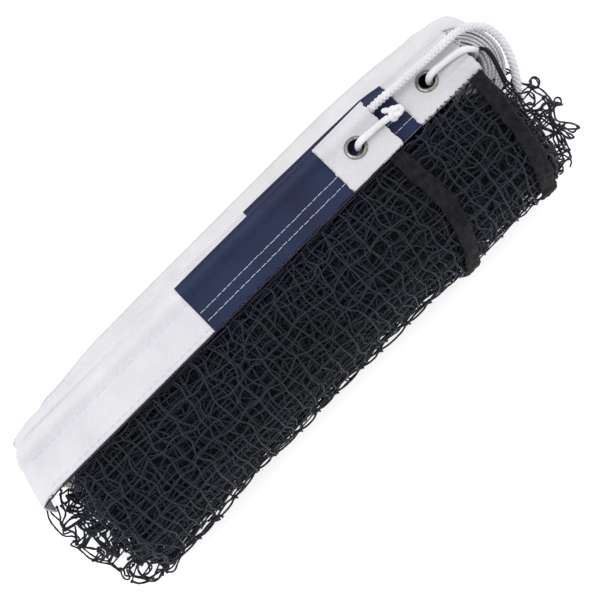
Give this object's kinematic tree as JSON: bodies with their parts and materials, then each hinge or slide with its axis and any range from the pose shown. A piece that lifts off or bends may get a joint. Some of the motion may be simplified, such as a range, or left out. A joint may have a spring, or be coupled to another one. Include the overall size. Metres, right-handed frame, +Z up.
{
  "type": "sports net",
  "caption": "Folded racket-sport net: black knotted netting rolled under a white head tape with eyelets, navy labels and white cords.",
  "frame": {"origin": "middle of the bundle's base, under the middle of the box that holds the bundle without its loose white cords", "axes": "+X along the bundle towards the end where the tape's two ends and cords lie, +Y across it towards the white head tape, +Z up"},
  "size_m": [0.4497, 0.1478, 0.0889],
  "materials": {
    "netting_twine": "matte",
    "white_tape": "matte",
    "head_cord": "satin",
    "tie_cord": "matte",
    "navy_label": "satin",
    "binding_tape": "matte",
    "eyelet_metal": "polished",
    "stitch_thread": "satin"
  },
  "bodies": {
    "root": {"netting_roll": "netting_twine", "netting_inner_folds": "netting_twine", "netting_left_loops": "netting_twine", "netting_right_loops": "netting_twine", "upper_selvage_twine": "netting_twine", "lower_selvage_twine": "netting_twine", "head_tape_end_1": "white_tape", "head_tape_end_2": "white_tape", "head_tape_laps": "white_tape", "end_patch_1": "white_tape", "end_patch_2": "white_tape", "head_cord_run_1": "head_cord", "head_cord_run_2": "head_cord", "head_cord_tail": "head_cord", "tie_cord_1": "tie_cord", "tie_cord_1_knot": "tie_cord", "tie_cord_2": "tie_cord", "label_1": "navy_label", "label_2": "navy_label", "eyelet_1": "eyelet_metal", "eyelet_2": "eyelet_metal", "eyelet_washer_1": "eyelet_metal", "eyelet_washer_2": "eyelet_metal", "side_binding_1": "binding_tape", "side_binding_2": "binding_tape", "label_1_stitches": "stitch_thread", "label_2_stitches": "stitch_thread", "tape_seam_stitches": "stitch_thread"}
  },
  "joints": []
}
